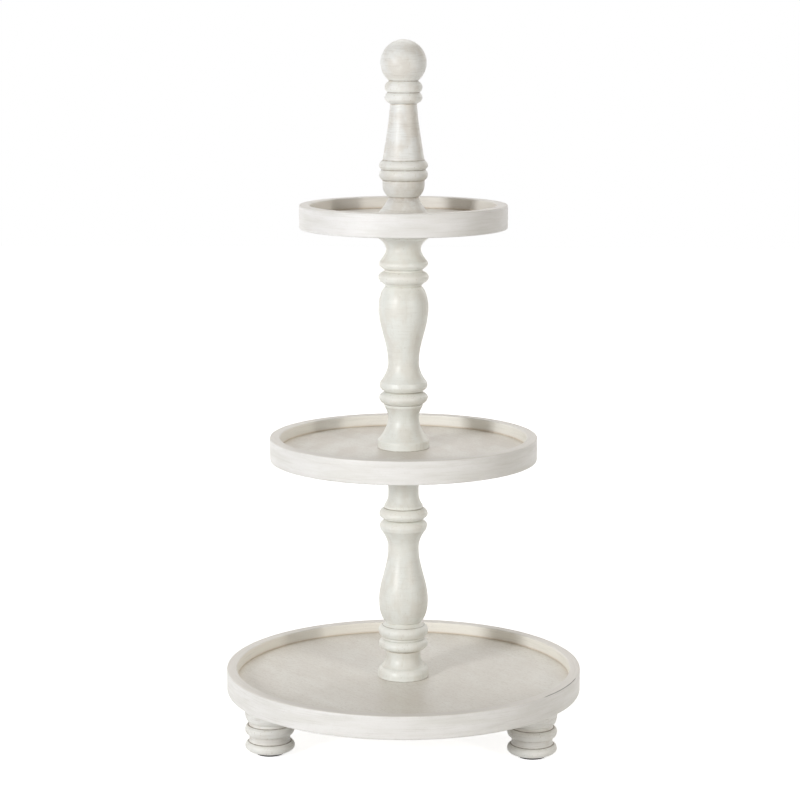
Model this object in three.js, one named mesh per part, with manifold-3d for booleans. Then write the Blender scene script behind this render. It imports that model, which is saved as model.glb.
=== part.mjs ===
// Three-tier serving stand in limewashed wood: round trays on turned posts, a ball finial, three turned feet.
// Millimetres, +Z up. The stand is centred on the Z axis and rests on Z = 0, with its front towards -Y.

import * as THREE from 'three';
import { mergeVertices } from 'three/addons/utils/BufferGeometryUtils.js';
import Module from 'manifold-3d';

const wasm = await Module();
wasm.setup();

// Trays: a bent wooden hoop round a flat disc, which sits in a rebate under the hoop's inner wall
const tray = {
  bottomRadius: 152.4,
  middleRadius: 113.8,
  topRadius: 87.5,
  rimHeight: 20,
  rimWall: 9,
  baseThickness: 10,
  rebateWidth: 4,
  edgeRound: 1.4,
};

// Lengths of the turned pieces that stand on the trays
const lowerPostLength = 191;
const upperPostLength = 187;

// Turned profile of a post, from its collar end to its neck end
const post = {
  plinthRadius: 21.9,
  plinthBevel: 0.7,
  collarPlinthHeight: 7.6,
  neckPlinthHeight: 6.8,
  collarNeckRadius: 14.7,
  collarHollowHeight: 9.2,
  collarRadius: 21.1,
  collarRise: 11.4,
  collarFall: 5.7,
  collarGrooveRadius: 15.6,
  collarFilletRadius: 16.2,
  collarFilletHeight: 1.5,
  beadRadius: 21.4,
  beadRise: 5,
  beadFall: 4.7,
  beadRootRadius: 17.8,
  bellyCoveHeight: 2.9,
  bellyGrooveRadius: 14.8,
  bellyRadius: 21.2,
  bellyRise: 18.6,
  waistRadius: 13.2,
  bellyToWaist: 46.3,
  cupEdgeRadius: 19.9,
  cupHeight: 16.7,
  cupBeadRadius: 20.6,
  cupBeadRise: 3,
  cupBeadFall: 5.2,
  cupGrooveRadius: 14.5,
  neckBeadRadius: 20.9,
  neckBeadRise: 5,
  neckBeadFall: 5.7,
  neckGrooveRadius: 15.8,
  neckFilletRadius: 16.6,
  neckFilletHeight: 1.8,
  neckRadius: 13.1,
  neckHollowHeight: 10,
  footFlareHeight: 17.5,
};

// Turned profile of the finial, from its foot to the top of its ball
const finial = {
  footRadius: 21.9,
  footHeight: 2.6,
  footStep: 0.6,
  stemRadius: 12.4,
  stemHeight: 13.8,
  cupRadius: 17.7,
  cupHeight: 10.7,
  cupBandHeight: 3.2,
  lowerBeadRadius: 20.4,
  lowerBeadRise: 4.3,
  lowerBeadFall: 4.6,
  beadGrooveRadius: 18.2,
  middleBeadRadius: 20.5,
  middleBeadRise: 3.3,
  middleBeadFall: 4.5,
  taperBaseRadius: 17.6,
  taperTopRadius: 11.2,
  taperHeight: 46.7,
  ringBeadRadius: 15.8,
  ringBeadRise: 5,
  ringBeadFall: 4.3,
  ringGrooveRadius: 13.4,
  topBeadRise: 4.3,
  topBeadFall: 5.3,
  ballNeckRadius: 12.1,
  ballRadius: 19.2,
};

// Turned profile of a foot, from the pad up to the tray
const foot = {
  inset: 24.9,
  height: 38,
  soleRadius: 12.5,
  lowerBeadRadius: 21,
  lowerBeadRise: 4.7,
  lowerBeadFall: 5.6,
  waistGrooveRadius: 17.2,
  waistRadius: 17.8,
  waistHeight: 2.5,
  upperBeadRadius: 20.9,
  upperBeadRise: 6.6,
  upperBeadFall: 5.4,
  neckGrooveRadius: 16.6,
  neckLipRadius: 17.3,
  neckRadius: 17,
  neckHeight: 1.8,
  flangeRadius: 21,
  flangeRise: 7.6,
};
const footPad = { radius: 12.3, thickness: 2, edgeRound: 0.5 };

// Hardware: machine-threaded studs in threaded inserts, one bolt from below, a double-ended screw per foot
const stud = { radius: 4, reach: 15, tip: 0.8 };
const insert = { wall: 1.7, length: 13 };
const bolt = { headRadius: 7, headHeight: 3.2, socketAcrossCorners: 5.8, socketDepth: 1.9 };
const washer = { radius: 9, thickness: 1.6 };
const footScrew = { radius: 3, reachIntoFoot: 20, reachIntoTray: 7, tip: 1.6 };

// Clearances
const fit = 0.3;
const studHoleClearance = 0.5;
const boltRecessClearance = 1;
const boltHeadRecess = 0.6;
const holeRunout = 3;
const cutOverrun = 1;

// Facets round a turn, and steps along a quarter of an outline's curve
const trayFacets = 48;
const turnedFacets = 20;
const footFacets = 16;
const hardwareFacets = 10;
const socketFacets = 6;
const beadSteps = 3;
const hollowSteps = 3;
const bellySteps = 4;
const waveSteps = 6;
const ballSteps = 7;
const edgeSteps = 2;

// How round a curve is: 0.5 gives a quarter ellipse, more gives a leaner one
const beadFullness = 0.75;
const finialBeadFullness = 0.9;
const footBeadFullness = 0.55;
const bellyFullness = 0.65;
const cupFullness = 0.7;
// How hollow a flare is: 1 gives a straight cone, more gives a deeper curve
const hollowPower = 2;
const collarFlarePower = 1.6;
const footFlarePower = 1.75;
const coneFlarePower = 1.3;

// Heights of the stack
const bottomUnderside = footPad.thickness + foot.height;
const bottomFloor = bottomUnderside + tray.baseThickness;
const middleUnderside = bottomFloor + lowerPostLength;
const middleFloor = middleUnderside + tray.baseThickness;
const topUnderside = middleFloor + upperPostLength;
const topFloor = topUnderside + tray.baseThickness;

// Feet: one behind, two in front
const footCount = 3;
const footCircle = tray.bottomRadius - foot.inset;
const footNames = ['back', 'front_left', 'front_right'];

// Holes that take the hardware
const insertRadius = stud.radius + fit + insert.wall;
const insertHoleRadius = insertRadius + fit;
const insertHoleDepth = stud.reach + holeRunout;
const studHoleRadius = stud.radius + studHoleClearance;
const boltRecessRadius = washer.radius + boltRecessClearance;
const boltRecessDepth = washer.thickness + bolt.headHeight + boltHeadRecess;
const footHoleRadius = footScrew.radius + fit;

const materials = {
  post: new THREE.MeshStandardMaterial({ color: 0xdfdbcf, roughness: 0.5, metalness: 0 }),
  rim: new THREE.MeshStandardMaterial({ color: 0xe6e4dd, roughness: 0.45, metalness: 0 }),
  floor: new THREE.MeshStandardMaterial({ color: 0xd0c9bd, roughness: 0.5, metalness: 0 }),
  pad: new THREE.MeshStandardMaterial({ color: 0x1b1918, roughness: 0.85, metalness: 0 }),
  steel: new THREE.MeshStandardMaterial({ color: 0xb9bab8, roughness: 0.35, metalness: 1 }),
};

// An outline of radius against height, drawn upwards from its start as a wood turner would mark it out
class Outline {
  constructor(radius, height) {
    this.points = [new THREE.Vector2(radius, height)];
  }

  get end() {
    return this.points[this.points.length - 1];
  }

  // A straight stretch to a radius, over a rise
  line(radius, rise) {
    this.points.push(new THREE.Vector2(radius, this.end.y + rise));
    return this;
  }

  // A shoulder: a level step to a radius
  step(radius) {
    return this.line(radius, 0);
  }

  // A stretch whose radius follows shape(0 to 1), sampled at share(0 to 1) of the rise
  curve(radius, rise, steps, share, shape) {
    const from = this.end.clone();
    for (let i = 1; i <= steps; i += 1) {
      const u = share(i / steps);
      this.points.push(new THREE.Vector2(from.x + (radius - from.x) * shape(u), from.y + rise * u));
    }
    return this;
  }

  // The lower half of a bead: bulges out to its crest
  swell(crest, rise, fullness = beadFullness, steps = beadSteps) {
    const share = (t) => 1 - Math.cos(t * Math.PI / 2);
    return this.curve(crest, rise, steps, share, (u) => (1 - (1 - u) ** 2) ** fullness);
  }

  // The upper half of a bead: rounds in from its crest to a groove
  fall(root, rise, fullness = beadFullness, steps = beadSteps) {
    const share = (t) => Math.sin(t * Math.PI / 2);
    return this.curve(root, rise, steps, share, (u) => 1 - (1 - u * u) ** fullness);
  }

  // A hollow that leaves a neck upright and spreads out to an edge
  flareOut(edge, rise, power = hollowPower, steps = hollowSteps) {
    return this.curve(edge, rise, steps, (t) => t, (u) => u ** power);
  }

  // A hollow that leaves an edge and ends upright at a neck
  flareIn(neck, rise, power = hollowPower, steps = hollowSteps) {
    return this.curve(neck, rise, steps, (t) => t, (u) => 1 - (1 - u) ** power);
  }

  // A long S from one upright stretch to another
  wave(radius, rise, steps = waveSteps) {
    return this.curve(radius, rise, steps, (t) => t, (u) => (1 - Math.cos(u * Math.PI)) / 2);
  }

  // The rest of a ball above its neck, up to the axis
  ball(radius) {
    const neck = this.end.clone();
    const start = Math.PI - Math.asin(neck.x / radius);
    const centre = neck.y - radius * Math.cos(start);
    for (let i = 1; i < ballSteps; i += 1) {
      const turn = start * (1 - i / ballSteps);
      this.points.push(new THREE.Vector2(radius * Math.sin(turn), centre + radius * Math.cos(turn)));
    }
    this.points.push(new THREE.Vector2(0, centre + radius));
    return this;
  }
}

// Lathe solid of an outline that runs up the outside, starting and ending on the axis or closing on itself
function revolve(points, facets) {
  return new THREE.LatheGeometry(points, facets).rotateX(Math.PI / 2);
}

// A plain round bar with chamfered ends, from one height to another
function bar(radius, from, to, tip, facets = hardwareFacets) {
  const outline = new Outline(0, from).step(radius - tip).line(radius, tip);
  outline.line(radius, to - from - 2 * tip).line(radius - tip, tip).step(0);
  return revolve(outline.points, facets);
}

function solidOf(geometry) {
  const bare = geometry.clone();
  bare.deleteAttribute('normal');
  bare.deleteAttribute('uv');
  const merged = mergeVertices(bare);
  const corners = merged.index.array;
  const triVerts = [];
  for (let i = 0; i < corners.length; i += 3) {
    const [a, b, c] = [corners[i], corners[i + 1], corners[i + 2]];
    if (a !== b && b !== c && c !== a) triVerts.push(a, b, c);
  }
  return new wasm.Manifold(new wasm.Mesh({
    numProp: 3,
    vertProperties: Float32Array.from(merged.attributes.position.array),
    triVerts: Uint32Array.from(triVerts),
  }));
}

function geometryOf(solid) {
  const { numProp, vertProperties, triVerts } = solid.getMesh();
  const geometry = new THREE.BufferGeometry();
  geometry.setAttribute('position', new THREE.BufferAttribute(Float32Array.from(vertProperties), numProp));
  geometry.setIndex(new THREE.BufferAttribute(Uint32Array.from(triVerts), 1));
  geometry.computeVertexNormals();
  return geometry;
}

function cut(geometry, ...tools) {
  return geometryOf(tools.reduce((solid, tool) => solid.subtract(solidOf(tool)), solidOf(geometry)));
}

// Post standing on its collar end, with a blind hole for an insert at each end
function postGeometry(length) {
  const outline = new Outline(0, insertHoleDepth)
    .step(insertHoleRadius)
    .line(insertHoleRadius, -insertHoleDepth)
    .step(post.plinthRadius)
    .line(post.plinthRadius, post.collarPlinthHeight)
    .line(post.plinthRadius - post.plinthBevel, post.plinthBevel)
    .flareIn(post.collarNeckRadius, post.collarHollowHeight)
    .flareOut(post.collarRadius, post.collarRise, collarFlarePower)
    .fall(post.collarGrooveRadius, post.collarFall)
    .step(post.collarFilletRadius)
    .line(post.collarFilletRadius, post.collarFilletHeight)
    .swell(post.beadRadius, post.beadRise)
    .fall(post.beadRootRadius, post.beadFall)
    .line(post.bellyGrooveRadius, post.bellyCoveHeight)
    .swell(post.bellyRadius, post.bellyRise, bellyFullness, bellySteps)
    .wave(post.waistRadius, post.bellyToWaist)
    .flareOut(post.cupEdgeRadius, post.cupHeight)
    .line(post.cupBeadRadius, post.cupBeadRise)
    .fall(post.cupGrooveRadius, post.cupBeadFall)
    .swell(post.neckBeadRadius, post.neckBeadRise)
    .fall(post.neckGrooveRadius, post.neckBeadFall)
    .step(post.neckFilletRadius)
    .line(post.neckFilletRadius, post.neckFilletHeight)
    .flareIn(post.neckRadius, post.neckHollowHeight);
  const footHeight = post.footFlareHeight + post.plinthBevel + post.neckPlinthHeight;
  outline
    .line(post.neckRadius, length - outline.end.y - footHeight)
    .flareOut(post.plinthRadius - post.plinthBevel, post.footFlareHeight, footFlarePower)
    .line(post.plinthRadius, post.plinthBevel)
    .line(post.plinthRadius, post.neckPlinthHeight)
    .step(insertHoleRadius)
    .line(insertHoleRadius, -insertHoleDepth)
    .step(0);
  return revolve(outline.points, turnedFacets);
}

function finialGeometry() {
  const outline = new Outline(0, insertHoleDepth)
    .step(insertHoleRadius)
    .line(insertHoleRadius, -insertHoleDepth)
    .step(finial.footRadius)
    .line(finial.footRadius, finial.footHeight)
    .step(finial.footRadius - finial.footStep)
    .flareIn(finial.stemRadius, finial.stemHeight, coneFlarePower)
    .swell(finial.cupRadius, finial.cupHeight, cupFullness, bellySteps)
    .line(finial.cupRadius, finial.cupBandHeight)
    .swell(finial.lowerBeadRadius, finial.lowerBeadRise, finialBeadFullness)
    .fall(finial.beadGrooveRadius, finial.lowerBeadFall, finialBeadFullness)
    .swell(finial.middleBeadRadius, finial.middleBeadRise, finialBeadFullness)
    .fall(finial.taperBaseRadius, finial.middleBeadFall, finialBeadFullness)
    .flareIn(finial.taperTopRadius, finial.taperHeight, coneFlarePower)
    .swell(finial.ringBeadRadius, finial.ringBeadRise, finialBeadFullness)
    .fall(finial.ringGrooveRadius, finial.ringBeadFall, finialBeadFullness)
    .swell(finial.ringBeadRadius, finial.topBeadRise, finialBeadFullness)
    .fall(finial.ballNeckRadius, finial.topBeadFall, finialBeadFullness)
    .ball(finial.ballRadius);
  return revolve(outline.points, turnedFacets);
}

// Foot standing on its sole, with a blind hole for its screw at the top
function footGeometry() {
  const outline = new Outline(0, 0)
    .step(foot.soleRadius)
    .swell(foot.lowerBeadRadius, foot.lowerBeadRise, footBeadFullness)
    .fall(foot.waistGrooveRadius, foot.lowerBeadFall, footBeadFullness)
    .step(foot.waistRadius)
    .line(foot.waistRadius, foot.waistHeight)
    .swell(foot.upperBeadRadius, foot.upperBeadRise, footBeadFullness)
    .fall(foot.neckGrooveRadius, foot.upperBeadFall, footBeadFullness)
    .step(foot.neckLipRadius)
    .line(foot.neckRadius, foot.neckHeight)
    .swell(foot.flangeRadius, foot.flangeRise, footBeadFullness);
  outline
    .line(foot.flangeRadius, foot.height - outline.end.y)
    .step(footHoleRadius)
    .line(footHoleRadius, -footScrew.reachIntoFoot - fit)
    .step(0);
  return revolve(outline.points, footFacets);
}

function padGeometry() {
  const outline = new Outline(0, 0)
    .step(footPad.radius - footPad.edgeRound)
    .line(footPad.radius, footPad.edgeRound)
    .line(footPad.radius, footPad.thickness - footPad.edgeRound)
    .step(0);
  return revolve(outline.points, footFacets);
}

// Hoop with rounded edges and a rebate for the disc, standing on its lower edge
function rimGeometry(radius) {
  const inner = radius - tray.rimWall;
  const rebate = inner + tray.rebateWidth;
  const round = Math.min(tray.edgeRound, tray.rimWall / 2, (tray.rimHeight - tray.baseThickness) / 2);
  const corner = (x, y, from) => {
    const centre = new THREE.Vector2(x, y);
    return Array.from({ length: edgeSteps + 1 }, (_, i) => {
      const turn = from + i / edgeSteps * Math.PI / 2;
      return new THREE.Vector2(round * Math.cos(turn), round * Math.sin(turn)).add(centre);
    });
  };
  const points = [
    new THREE.Vector2(rebate, 0),
    ...corner(radius - round, round, -Math.PI / 2),
    ...corner(radius - round, tray.rimHeight - round, 0),
    ...corner(inner + round, tray.rimHeight - round, Math.PI / 2),
    new THREE.Vector2(inner, tray.baseThickness),
    new THREE.Vector2(rebate, tray.baseThickness),
    new THREE.Vector2(rebate, 0),
  ];
  return revolve(points, trayFacets);
}

// Disc that fills the hoop's rebate, with a centre hole for a stud or the bolt
function baseGeometry(radius) {
  const edge = radius - tray.rimWall + tray.rebateWidth - fit;
  const outline = new Outline(studHoleRadius, 0)
    .step(edge)
    .line(edge, tray.baseThickness)
    .step(studHoleRadius)
    .line(studHoleRadius, -tray.baseThickness);
  return revolve(outline.points, trayFacets);
}

// The bottom disc also has a recess for the bolt's head and a blind hole over each foot
function bottomBaseGeometry() {
  const recess = bar(boltRecessRadius, -cutOverrun, boltRecessDepth, 0);
  const holeDepth = footScrew.reachIntoTray + fit;
  const holes = footNames.map((_, i) => {
    const hole = bar(footHoleRadius, -cutOverrun, holeDepth, 0);
    return hole.translate(0, footCircle, 0).rotateZ(i / footCount * 2 * Math.PI);
  });
  return cut(baseGeometry(tray.bottomRadius), recess, ...holes);
}

function insertGeometry() {
  const outline = new Outline(stud.radius + fit, 0)
    .step(insertRadius)
    .line(insertRadius, insert.length)
    .step(stud.radius + fit)
    .line(stud.radius + fit, -insert.length);
  return revolve(outline.points, hardwareFacets);
}

function washerGeometry() {
  const outline = new Outline(studHoleRadius, 0)
    .step(washer.radius)
    .line(washer.radius, washer.thickness)
    .step(studHoleRadius)
    .line(studHoleRadius, -washer.thickness);
  return revolve(outline.points, hardwareFacets);
}

// Bolt with its head at the bottom and a hexagon socket in the head
function boltGeometry(shank) {
  const outline = new Outline(0, 0)
    .step(bolt.headRadius - stud.tip)
    .line(bolt.headRadius, stud.tip)
    .line(bolt.headRadius, bolt.headHeight - stud.tip)
    .step(stud.radius)
    .line(stud.radius, shank - stud.tip)
    .line(stud.radius - stud.tip, stud.tip)
    .step(0);
  const socket = bar(bolt.socketAcrossCorners / 2, -cutOverrun, bolt.socketDepth, 0, socketFacets);
  return cut(revolve(outline.points, turnedFacets), socket);
}

function piece(name, geometry, material, height = 0) {
  const mesh = new THREE.Mesh(geometry, material.clone());
  mesh.name = name;
  mesh.position.z = height;
  return mesh;
}

// One foot under the tray with its pad and screw, at its place on the foot circle
function footAssembly(name, index) {
  const group = new THREE.Group();
  const screw = bar(footScrew.radius, bottomUnderside - footScrew.reachIntoFoot,
    bottomUnderside + footScrew.reachIntoTray, footScrew.tip);
  group.add(
    piece(`foot_${name}`, footGeometry(), materials.post, footPad.thickness),
    piece(`foot_pad_${name}`, padGeometry(), materials.pad),
    piece(`foot_screw_${name}`, screw, materials.steel),
  );
  group.children.forEach((mesh) => {
    mesh.position.y = footCircle;
  });
  group.rotation.z = index / footCount * 2 * Math.PI;
  return group;
}

function trayAssembly(name, radius, underside, base) {
  return [
    piece(`${name}_tray_base`, base, materials.floor, underside),
    piece(`${name}_tray_rim`, rimGeometry(radius), materials.rim, underside),
  ];
}

// Insert in the lower end of a piece whose end face is at a height, or in its upper end
function insertAt(name, end, upper) {
  return piece(name, insertGeometry(), materials.steel, upper ? end - insert.length : end);
}

// Stud through a tray's disc, from the post below into the piece above
function studThrough(name, underside) {
  const rod = bar(stud.radius, -stud.reach, tray.baseThickness + stud.reach, stud.tip);
  return piece(name, rod, materials.steel, underside);
}

// The upper post is the same turning as the lower one, standing on its other end
function upperPost() {
  const mesh = piece('upper_post', postGeometry(upperPostLength), materials.post, topUnderside);
  mesh.rotation.x = Math.PI;
  return mesh;
}

const boltSeat = bottomUnderside + boltRecessDepth;
const boltShank = washer.thickness + bottomFloor - boltSeat + stud.reach;

const stand = new THREE.Group();
stand.add(
  ...footNames.map(footAssembly),
  ...trayAssembly('bottom', tray.bottomRadius, bottomUnderside, bottomBaseGeometry()),
  ...trayAssembly('middle', tray.middleRadius, middleUnderside, baseGeometry(tray.middleRadius)),
  ...trayAssembly('top', tray.topRadius, topUnderside, baseGeometry(tray.topRadius)),
  piece('lower_post', postGeometry(lowerPostLength), materials.post, bottomFloor),
  upperPost(),
  piece('finial', finialGeometry(), materials.post, topFloor),
  insertAt('lower_post_bottom_insert', bottomFloor, false),
  insertAt('lower_post_top_insert', middleUnderside, true),
  insertAt('upper_post_bottom_insert', middleFloor, false),
  insertAt('upper_post_top_insert', topUnderside, true),
  insertAt('finial_insert', topFloor, false),
  studThrough('middle_tray_stud', middleUnderside),
  studThrough('top_tray_stud', topUnderside),
  piece('bottom_tray_washer', washerGeometry(), materials.steel, boltSeat - washer.thickness),
  piece('bottom_tray_bolt', boltGeometry(boltShank), materials.steel,
    boltSeat - washer.thickness - bolt.headHeight),
);

export default stand;
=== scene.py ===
"""Looks of the tiered stand, in metres, +Z up, in the frame of the CAD model.

The posts, the finial, the feet, the hoops and floors of the trays and the rubber pads are revolved again
from their own outlines, with fine, rounded corners, and stand for their coarser CAD nodes. The steel
hardware stays as the CAD made it.
"""

import math
from collections import namedtuple
from types import SimpleNamespace

import bpy
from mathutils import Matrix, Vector


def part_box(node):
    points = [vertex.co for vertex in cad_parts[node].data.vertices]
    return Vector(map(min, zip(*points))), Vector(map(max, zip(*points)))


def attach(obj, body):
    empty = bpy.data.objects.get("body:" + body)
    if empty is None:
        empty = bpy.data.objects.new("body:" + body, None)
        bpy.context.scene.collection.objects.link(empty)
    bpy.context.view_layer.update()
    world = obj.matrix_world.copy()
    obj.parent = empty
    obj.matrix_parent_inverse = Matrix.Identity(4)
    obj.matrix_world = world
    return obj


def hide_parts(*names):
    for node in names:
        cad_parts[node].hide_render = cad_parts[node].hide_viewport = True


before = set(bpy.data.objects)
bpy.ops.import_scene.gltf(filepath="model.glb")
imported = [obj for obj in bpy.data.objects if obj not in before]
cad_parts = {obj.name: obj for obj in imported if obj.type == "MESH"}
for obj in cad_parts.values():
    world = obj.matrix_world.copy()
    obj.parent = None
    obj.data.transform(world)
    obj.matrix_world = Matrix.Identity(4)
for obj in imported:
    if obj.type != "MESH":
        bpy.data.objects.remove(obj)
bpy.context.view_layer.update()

MM = 0.001

# Fineness of the revolved meshes
TURNED_SEGMENTS = 144
TRAY_SEGMENTS = 320
FOOT_SEGMENTS = 112
CURVE_STEPS = 14
BALL_STEPS = 3 * CURVE_STEPS
CORNER_STEPS = 4
LONGEST_STEP = 0.6 * MM
FLOOR_STEP = 2 * MM
ON_AXIS = 1e-7
SAME_POINT = 1e-9

# Corners: the turn from which one counts, how far it is rounded, and how much of a stretch that may take
CORNER_TURN = math.radians(16)
CORNER_ROUND = 0.35 * MM
CORNER_SHARE = 0.45

# How near to a face a point still counts as lying on it, and how far a sharp corner is rounded
SKIN = 0.1 * MM

# Hollows, which take warm wash and painted shade, and ridges, which take wear and a painted highlight: how
# far along the axis a place looks for its neighbours, and how far it has to stand out from them or lie
# below them to be a full ridge or a full hollow
RELIEF_REACH = 1.6 * MM
HOLLOW_DEPTH = 1.0 * MM
RIDGE_HEIGHT = 0.45 * MM

# How round a bead is: 0.5 gives a quarter ellipse, and more gives a leaner one
BEAD_FULLNESS = 0.75
FINIAL_BEAD_FULLNESS = 0.9
FOOT_BEAD_FULLNESS = 0.55
BELLY_FULLNESS = 0.65
COLLAR_FULLNESS = 0.5
CUP_FULLNESS = 0.7

# How hollow a flare is: 1 gives a straight cone, and more gives a deeper curve
HOLLOW_POWER = 2.0
COLLAR_FLARE_POWER = 1.6
FOOT_FLARE_POWER = 1.75
CONE_FLARE_POWER = 1.3

# Camera of the photograph, measured from the stand's axis
CAMERA_TURN = math.radians(2.0)
CAMERA_DISTANCE = 2006.1 * MM
CAMERA_HEIGHT = 632.2 * MM
CAMERA_PITCH = math.radians(9.631)
CAMERA_YAW = math.radians(0.0837)
SENSOR_WIDTH_MM = 36.0
FOCAL_PIXELS = 2396.8
IMAGE_PIXELS = 800


# Sizes of the turnings

def millimetres(**sizes):
    """Sizes written in millimetres under their names, as metres."""
    return SimpleNamespace(**{name: size * MM for name, size in sizes.items()})


# Both posts, drawn standing on their collar end: the plinths, and all that is above the collar
POST = millimetres(
    plinth_radius=21.9,
    bevel_radius=21.2,
    bevel_height=0.7,
    head_plinth_height=6.8,
    bead_radius=21.4,
    bead_rise=5.0,
    bead_fall=4.7,
    bead_root_radius=17.8,
    belly_cove_height=2.9,
    belly_groove_radius=14.8,
    belly_radius=21.2,
    belly_rise=18.6,
    waist_radius=13.2,
    belly_to_waist=46.3,
    cup_edge_radius=19.9,
    cup_height=16.7,
    cup_bead_radius=20.6,
    cup_bead_rise=3.0,
    cup_bead_fall=5.2,
    cup_groove_radius=14.5,
    neck_bead_radius=20.9,
    neck_bead_rise=5.0,
    neck_bead_fall=5.7,
    neck_groove_radius=15.8,
    neck_fillet_radius=16.6,
    neck_fillet_height=1.8,
    neck_radius=13.1,
    neck_hollow_height=10.0,
    head_flare_height=17.5,
)

# Collar end of the upper post
FLARED_COLLAR = millimetres(
    plinth_height=7.6,
    hollow_radius=14.7,
    hollow_height=9.2,
    radius=21.1,
    rise=11.4,
    worn_round=1.6,
    fall=5.7,
    groove_radius=15.6,
    fillet_radius=16.2,
    fillet_height=1.5,
)

# Collar end of the lower post
FULL_COLLAR = millimetres(
    plinth_height=4.0,
    worn_radius=18.6,
    worn_height=5.6,
    hollow_radius=14.6,
    hollow_height=9.4,
    root_radius=15.0,
    root_height=5.6,
    radius=21.1,
    rise=4.6,
    fall=4.9,
    groove_radius=17.2,
    fillet_radius=18.4,
    fillet_height=2.0,
)

FINIAL = millimetres(
    foot_radius=21.9,
    foot_height=2.6,
    stem_foot_radius=21.3,
    stem_radius=12.4,
    stem_height=13.8,
    cup_radius=17.7,
    cup_height=10.7,
    cup_band_height=3.2,
    lower_bead_radius=20.4,
    lower_bead_rise=4.3,
    lower_bead_fall=4.6,
    bead_groove_radius=18.2,
    middle_bead_radius=20.5,
    middle_bead_rise=3.3,
    middle_bead_fall=4.5,
    taper_base_radius=17.6,
    taper_top_radius=11.2,
    taper_height=46.7,
    ring_bead_radius=15.8,
    ring_bead_rise=5.0,
    ring_bead_fall=4.3,
    ring_groove_radius=13.4,
    top_bead_rise=4.3,
    top_bead_fall=5.3,
    ball_neck_radius=12.1,
    ball_radius=19.2,
)

FOOT = millimetres(
    sole_radius=12.5,
    bead_radius=21.0,
    lower_bead_rise=4.7,
    lower_bead_fall=4.2,
    lower_groove_radius=17.8,
    waist_radius=17.2,
    waist_fall=2.7,
    waist_edge_radius=18.3,
    waist_rise=3.6,
    upper_bead_rise=4.8,
    upper_bead_fall=3.2,
    upper_groove_radius=18.0,
    neck_radius=17.0,
    neck_height=2.6,
    flange_radius=21.0,
    flange_rise=8.2,
)

# Blind holes for an insert in a post or the finial, and for a screw in a foot
Bore = namedtuple("Bore", "radius depth")
INSERT_BORE = Bore(6.3 * MM, 18 * MM)
SCREW_BORE = Bore(3.3 * MM, 20.3 * MM)

# Creases: how much glaze and painted shade one holds, and how far that thins out along the outline before
# and after it. The dark of a crease is partly real glaze and partly painted shade.
USUAL_BEFORE = 1.1 * MM
USUAL_AFTER = 0.35 * MM
Crease = namedtuple("Crease", "glaze before after", defaults=(USUAL_BEFORE, USUAL_AFTER))
# Where a plinth meets a tray, its crease mark is a painted contact shadow as well as glaze
PLINTH_FOOT_CREASE = Crease(0.9, after=0.8 * MM)
PLINTH_HEAD_CREASE = Crease(0.9, before=0.8 * MM)
FLARED_COLLAR_CREASE = Crease(0.8)
FULL_COLLAR_ROOT_CREASE = Crease(1.1, before=1.8 * MM, after=2.2 * MM)
FULL_COLLAR_CREASE = Crease(1.1, before=0.9 * MM)
FULL_COLLAR_FILLET_CREASE = Crease(1.0, before=0.3 * MM, after=0.9 * MM)
BEAD_CREASE = Crease(0.75, after=0.5 * MM)
CUP_CREASE = Crease(0.6, before=0.7 * MM)
NECK_CREASE = Crease(1.1, before=2.2 * MM)
FINIAL_STEM_CREASE = Crease(1.0, after=0.6 * MM)
# Painted shade spread far down the flaring foot of the finial's stem
FINIAL_STEM_PAINTED_SHADE = Crease(0.6, before=11 * MM)
FINIAL_BEAD_CREASE = Crease(0.8, after=1.1 * MM)
FOOT_BEAD_CREASE = Crease(1.05, after=0.9 * MM)
FOOT_WAIST_CREASE = Crease(0.6, after=0.9 * MM)


class Outline:
    """Radius against height, drawn upwards from the axis, with the creases that hold dark glaze and painted
    shade.
    """

    def __init__(self):
        self.points = [(0.0, 0.0)]
        self.creases = []
        self.soft = []

    def crease(self, kind):
        """The point here holds glaze and painted shade."""
        self.creases.append((self.points[-1], kind))
        return self

    def soften(self, length):
        """The corner here is worn round over a length to either side, once the outline goes on."""
        self.soft.append((self.points[-1], length))
        return self

    def line(self, radius, rise):
        self.points.append((radius, self.points[-1][1] + rise))
        return self

    def step(self, radius):
        return self.line(radius, 0.0)

    def curve(self, radius, rise, share, shape):
        """A curve: share gives each step's share of the rise, and shape the radius's share there."""
        start, height = self.points[-1]
        for i in range(1, CURVE_STEPS + 1):
            u = share(i / CURVE_STEPS)
            self.points.append((start + (radius - start) * shape(u), height + rise * u))
        return self

    def swell(self, crest, rise, fullness=BEAD_FULLNESS):
        """Out to a bead's crest."""
        return self.curve(crest, rise, lambda t: 1 - math.cos(t * math.pi / 2),
                          lambda u: (1 - (1 - u) ** 2) ** fullness)

    def fall(self, root, rise, fullness=BEAD_FULLNESS):
        """In from a bead's crest to its root."""
        return self.curve(root, rise, lambda t: math.sin(t * math.pi / 2),
                          lambda u: 1 - (1 - u * u) ** fullness)

    def flare_out(self, edge, rise, power=HOLLOW_POWER):
        """From a neck out to an edge, hollow."""
        return self.curve(edge, rise, lambda t: t, lambda u: u ** power)

    def flare_in(self, neck, rise, power=HOLLOW_POWER):
        """From an edge in to a neck, hollow."""
        return self.curve(neck, rise, lambda t: t, lambda u: 1 - (1 - u) ** power)

    def wave(self, radius, rise):
        """From a belly to a waist, upright at both ends."""
        return self.curve(radius, rise, lambda t: t, lambda u: (1 - math.cos(u * math.pi)) / 2)

    def ball(self, radius):
        """A ball on the neck here, up to its pole."""
        neck, height = self.points[-1]
        start = math.pi - math.asin(neck / radius)
        centre = height - radius * math.cos(start)
        for i in range(1, BALL_STEPS + 1):
            turn = start * (1 - i / BALL_STEPS)
            self.points.append((radius * math.sin(turn), centre + radius * math.cos(turn)))
        return self


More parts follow.
